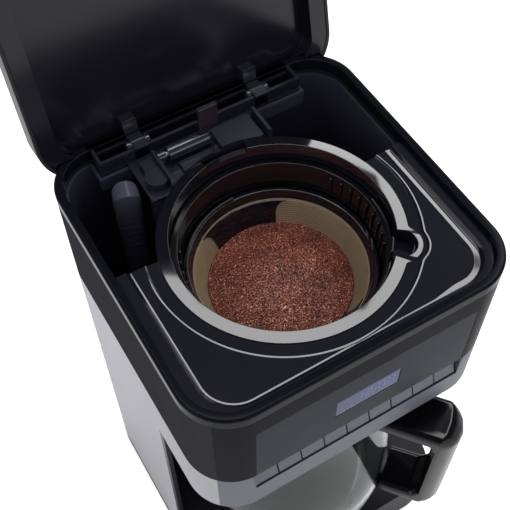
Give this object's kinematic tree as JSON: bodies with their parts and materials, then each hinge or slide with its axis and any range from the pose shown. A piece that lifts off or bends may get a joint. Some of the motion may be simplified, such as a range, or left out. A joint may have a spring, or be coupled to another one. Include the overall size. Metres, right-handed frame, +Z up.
{
  "type": "drip coffee maker",
  "caption": "Drip coffee maker with an open hinged lid, a permanent filter in a lift-out basket and a glass carafe on a warming plate",
  "frame": {"origin": "centre of the body's square footprint, on the surface it stands on", "axes": "+X to the right seen from the front, +Y towards the back, +Z up"},
  "size_m": [0.2, 0.2734, 0.5232],
  "materials": {
    "body_black": "satin",
    "inner_black": "gloss",
    "side_dark": "satin",
    "steel": "fine vertical brushing",
    "fascia_grey": "semi gloss",
    "rim_grey": "gloss",
    "panel_grey": "gloss",
    "lens": "clear, tinted",
    "key_grey": "satin",
    "lid_black": "gloss",
    "lid_skin": "satin",
    "hinge_black": "satin",
    "basket_black": "gloss",
    "mesh": "woven mesh",
    "coffee": "ground, dry",
    "tank_smoke": "clear, smoked",
    "glass": "clear",
    "handle_black": "satin",
    "plate_black": "non-stick",
    "rubber": "matte",
    "silicone": "matte",
    "seal_red": "matte",
    "heater_cast": "as cast",
    "bright_steel": "plain",
    "board": "printed circuit board",
    "bakelite": "matte",
    "tube_clear": "milky"
  },
  "bodies": {
    "housing": {"feet": "rubber", "base_pan": "body_black", "base_cover": "body_black", "base_shell": "body_black", "column_shell": "body_black", "head_shell": "body_black", "steel_wrap": "steel", "side_band": "side_dark", "top_rim": "rim_grey", "fascia": "fascia_grey", "display_panel": "panel_grey", "lcd_lens": "lens", "lcd_module": "board", "chin_strip": "steel", "key_board": "board", "display_board": "board", "deck": "inner_black", "brew_well": "inner_black", "water_tank": "tank_smoke", "bridge": "hinge_black", "hinge_trough": "hinge_black", "hinge_pins": "bright_steel", "warming_plate": "plate_black", "plate_seal": "rubber", "heating_element": "heater_cast", "thermostat": "bakelite", "power_board": "board", "water_hoses": "silicone", "riser_tube": "tube_clear", "rear_cover": "body_black", "cord_inlet": "body_black", "screws": "bright_steel"},
    "lid": {"lid_cover": "lid_skin", "lid_liner": "lid_black", "lid_arms": "hinge_black"},
    "spray_arm": {"spray_arm": "hinge_black"},
    "key_1": {"key_1": "key_grey"},
    "key_2": {"key_2": "key_grey"},
    "key_3": {"key_3": "key_grey"},
    "key_4": {"key_4": "key_grey"},
    "key_5": {"key_5": "key_grey"},
    "key_6": {"key_6": "key_grey"},
    "key_7": {"key_7": "key_grey"},
    "key_8": {"key_8": "key_grey"},
    "key_9": {"key_9": "key_grey"},
    "basket": {"filter_basket": "basket_black", "valve_spring": "bright_steel"},
    "basket_handle": {"basket_handle": "basket_black"},
    "valve": {"valve_plunger": "basket_black", "valve_seal": "seal_red"},
    "filter": {"filter_frame": "inner_black", "filter_mesh": "mesh", "coffee_grounds": "coffee"},
    "filter_handle": {"filter_handle": "basket_black"},
    "filter_pillar": {"filter_pillar": "hinge_black"},
    "carafe": {"carafe_glass": "glass", "carafe_collar": "handle_black", "carafe_handle": "handle_black", "carafe_lid_pin": "bright_steel"},
    "carafe_lid": {"carafe_lid": "handle_black"}
  },
  "joints": [
    {"name": "lid_hinge", "type": "hinge", "parent": "housing", "child": "lid", "pos_m": [0, 0.0878, 0.341], "axis": [-1, 0, 0], "range_deg": [-103, 0]},
    {"name": "spray_arm_hinge", "type": "hinge", "parent": "housing", "child": "spray_arm", "pos_m": [0, 0.071, 0.3415], "axis": [-1, 0, 0], "range_deg": [-85, 0]},
    {"name": "basket_lift", "type": "slide", "parent": "housing", "child": "basket", "axis": [0, 0, 1], "range_m": [0, 0.13]},
    {"name": "basket_bail", "type": "hinge", "parent": "basket", "child": "basket_handle", "pos_m": [0, -0.0095, 0.3273], "axis": [-1, 0, 0], "range_deg": [0, 145]},
    {"name": "valve_slide", "type": "slide", "parent": "basket", "child": "valve", "axis": [0, 0, 1], "range_m": [0, 0.005], "stiffness_N_per_m": 60, "deforming": ["valve_spring"]},
    {"name": "filter_lift", "type": "slide", "parent": "basket", "child": "filter", "axis": [0, 0, 1], "range_m": [0, 0.09]},
    {"name": "filter_bail", "type": "hinge", "parent": "filter", "child": "filter_handle", "pos_m": [0, -0.0095, 0.3076], "axis": [0, 1, 0], "range_deg": [0, 90]},
    {"name": "pillar_lift", "type": "slide", "parent": "housing", "child": "filter_pillar", "axis": [0, 0, 1], "range_m": [0, 0.12]},
    {"name": "carafe_slide", "type": "slide", "parent": "housing", "child": "carafe", "axis": [0, -1, 0], "range_m": [0, 0.18]},
    {"name": "carafe_lid_hinge", "type": "hinge", "parent": "carafe", "child": "carafe_lid", "pos_m": [0.03944, -0.07684, 0.1933], "axis": [0.7716, 0.6361, 0], "range_deg": [0, 3.6]},
    {"name": "key_1_press", "type": "slide", "parent": "housing", "child": "key_1", "axis": [0, 0.9489, -0.3156], "range_m": [0, 0.0012], "stiffness_N_per_m": 300},
    {"name": "key_2_press", "type": "slide", "parent": "housing", "child": "key_2", "axis": [0, 0.9489, -0.3156], "range_m": [0, 0.0012], "stiffness_N_per_m": 300},
    {"name": "key_3_press", "type": "slide", "parent": "housing", "child": "key_3", "axis": [0, 0.9489, -0.3156], "range_m": [0, 0.0012], "stiffness_N_per_m": 300},
    {"name": "key_4_press", "type": "slide", "parent": "housing", "child": "key_4", "axis": [0, 0.9489, -0.3156], "range_m": [0, 0.0012], "stiffness_N_per_m": 300},
    {"name": "key_5_press", "type": "slide", "parent": "housing", "child": "key_5", "axis": [0, 0.9489, -0.3156], "range_m": [0, 0.0012], "stiffness_N_per_m": 300},
    {"name": "key_6_press", "type": "slide", "parent": "housing", "child": "key_6", "axis": [0, 0.9489, -0.3156], "range_m": [0, 0.0012], "stiffness_N_per_m": 300},
    {"name": "key_7_press", "type": "slide", "parent": "housing", "child": "key_7", "axis": [0, 0.9489, -0.3156], "range_m": [0, 0.0012], "stiffness_N_per_m": 300},
    {"name": "key_8_press", "type": "slide", "parent": "housing", "child": "key_8", "axis": [0, 0.9489, -0.3156], "range_m": [0, 0.0012], "stiffness_N_per_m": 300},
    {"name": "key_9_press", "type": "slide", "parent": "housing", "child": "key_9", "axis": [0, 0.9489, -0.3156], "range_m": [0, 0.0012], "stiffness_N_per_m": 300}
  ],
  "couplings": [
    {"joint": "spray_arm_hinge", "follows": "lid_hinge", "ratio": 0.8252},
    {"joint": "valve_slide", "follows": "carafe_lid_hinge", "m_per_rad": 0.0795}
  ]
}
